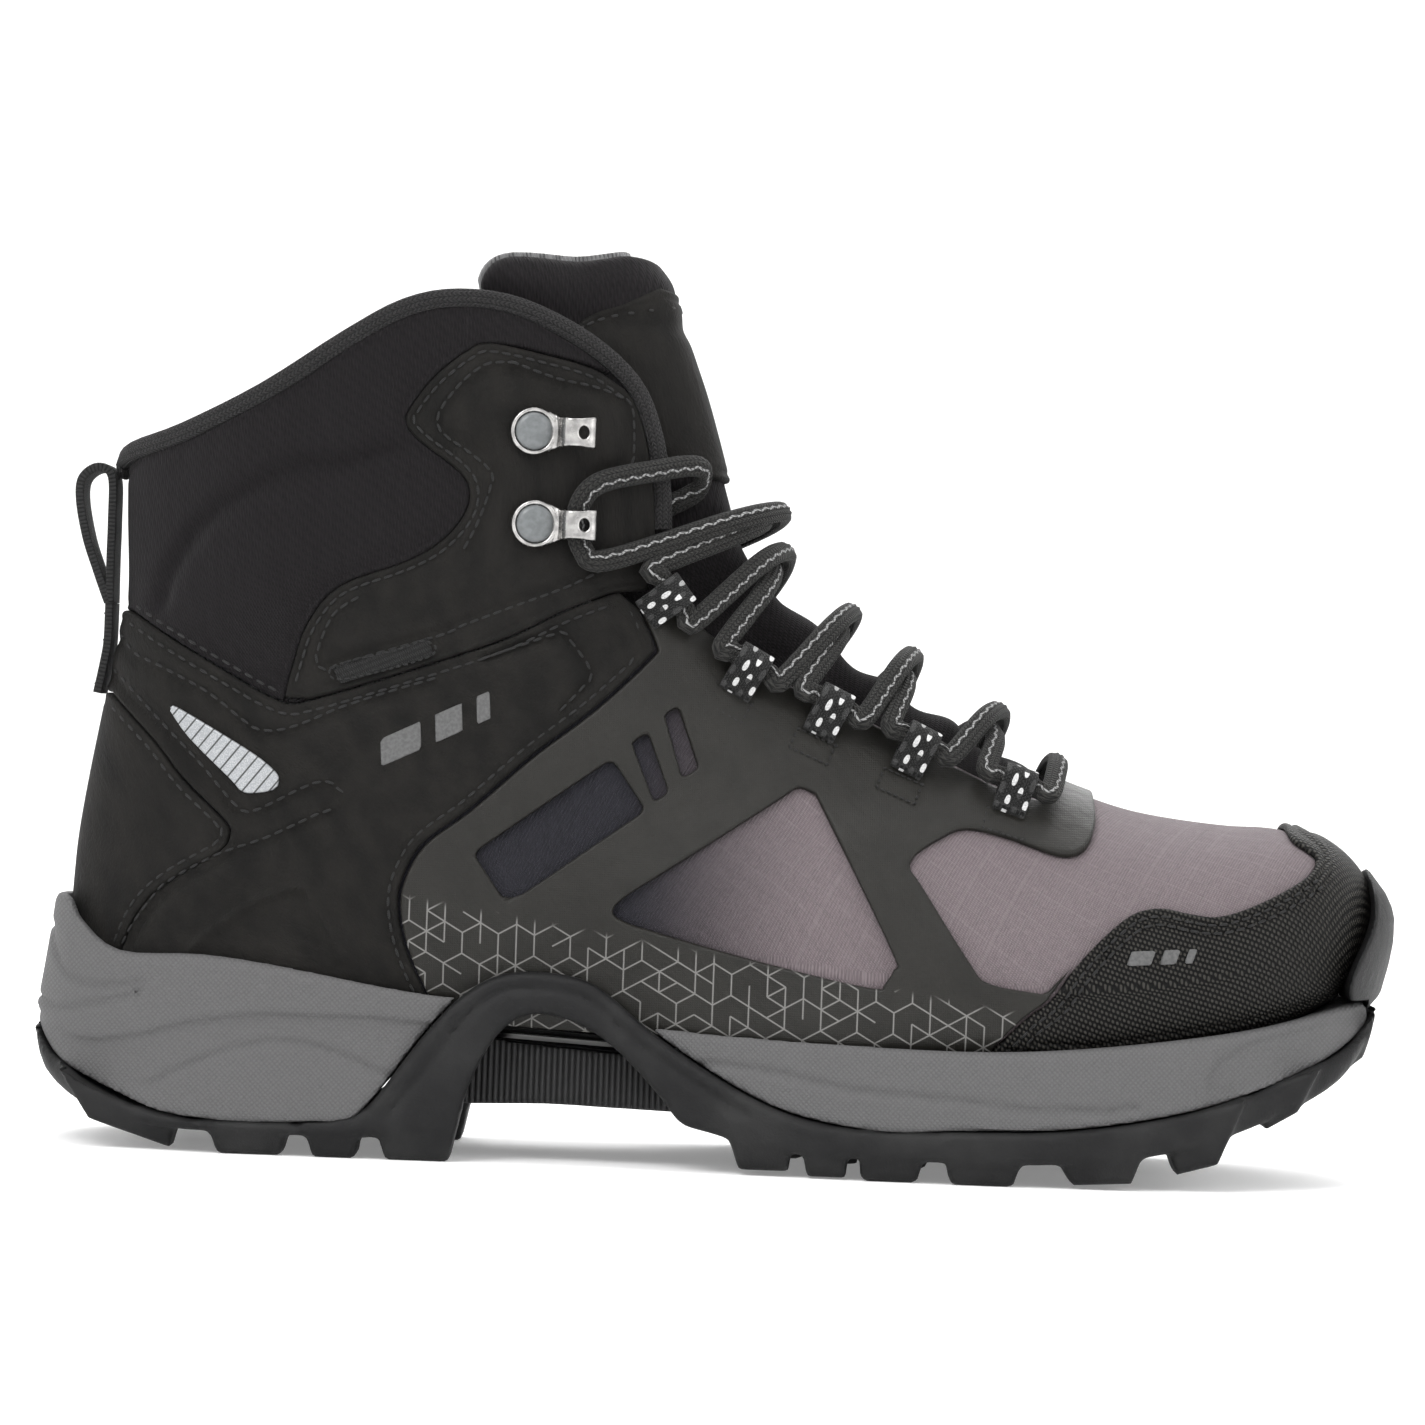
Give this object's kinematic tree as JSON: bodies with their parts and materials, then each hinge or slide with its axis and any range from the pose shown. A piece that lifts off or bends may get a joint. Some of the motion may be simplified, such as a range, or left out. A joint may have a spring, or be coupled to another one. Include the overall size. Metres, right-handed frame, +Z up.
{
  "type": "hiking boot",
  "caption": "Right mid-height hiking boot: lugged rubber outsole, foam midsole, panelled upper, padded cuff, folding tongue, laced through webbing loops and hooks.",
  "frame": {"origin": "on the floor, under the middle of the boot's box", "axes": "+X from heel to toe, +Z up, -Y the outer (lateral) side of this right boot"},
  "size_m": [0.3082, 0.113, 0.2035],
  "materials": {
    "rubber": "matte moulded rubber",
    "eva_grey": "matte moulded foam",
    "eva_black": "ribbed moulded foam",
    "leather": "soft matte synthetic leather",
    "film": "matte welded film",
    "ripstop": "plain woven ripstop",
    "softshell": "brushed stretch weave",
    "toe_tpu": "pebbled rubberised sheet",
    "lining": "spacer knit mesh",
    "foam": "open-cell foam",
    "board": "pressed fibre board",
    "steel": "nickel plate",
    "enamel": "grey satin enamel",
    "webbing": "woven webbing",
    "lace": "braided polyester",
    "reflective": "ribbed reflective tape"
  },
  "bodies": {
    "boot": {"arch_core": "eva_black", "bootie_lining": "lining", "bottom_filler": "foam", "collar_binding_lateral": "webbing", "collar_binding_medial": "webbing", "collar_foam": "foam", "cuff": "softshell", "film_overlay": "film", "heel_counter": "board", "heel_patch": "leather", "heel_strap": "leather", "hook_lateral_1": "steel", "hook_lateral_2": "steel", "hook_medial_1": "steel", "hook_medial_2": "steel", "hook_panel_lateral": "leather", "hook_panel_medial": "leather", "insole_board": "board", "lace": "lace", "lace_loop_lateral_1": "webbing", "lace_loop_lateral_2": "webbing", "lace_loop_lateral_3": "webbing", "lace_loop_lateral_4": "webbing", "lace_loop_lateral_5": "webbing", "lace_loop_medial_1": "webbing", "lace_loop_medial_2": "webbing", "lace_loop_medial_3": "webbing", "lace_loop_medial_4": "webbing", "lace_loop_medial_5": "webbing", "midsole_forefoot": "eva_grey", "midsole_heel": "eva_grey", "outsole": "rubber", "pull_loop_tail": "webbing", "quarter_textile_lateral": "softshell", "quarter_textile_medial": "softshell", "reflector_lateral": "reflective", "reflector_medial": "reflective", "rivet_lateral_1": "enamel", "rivet_lateral_2": "enamel", "rivet_medial_1": "enamel", "rivet_medial_2": "enamel", "shank": "steel", "toe_bumper": "rubber", "toe_cap": "toe_tpu", "toe_puff": "board", "tongue_base": "softshell", "vamp_textile": "ripstop", "woven_label": "webbing"},
    "tongue_top": {"tongue_flap": "softshell", "tongue_patch": "leather", "tongue_lining": "lining"},
    "heel_pull_loop": {"pull_loop": "webbing"},
    "removable_footbed": {"footbed": "foam"}
  },
  "joints": [
    {"name": "tongue_fold", "type": "hinge", "parent": "boot", "child": "tongue_top", "pos_m": [-0.0016, 0, 0.15], "axis": [0, 1, 0], "range_deg": [0, 30]},
    {"name": "pull_loop_flop", "type": "hinge", "parent": "boot", "child": "heel_pull_loop", "pos_m": [-0.1404, 0, 0.121], "axis": [0, 1, 0], "range_deg": [-75, 0]},
    {"name": "footbed_lift", "type": "hinge", "parent": "boot", "child": "removable_footbed", "pos_m": [0.134, 0, 0.042], "axis": [0, 1, 0], "range_deg": [0, 2]}
  ]
}
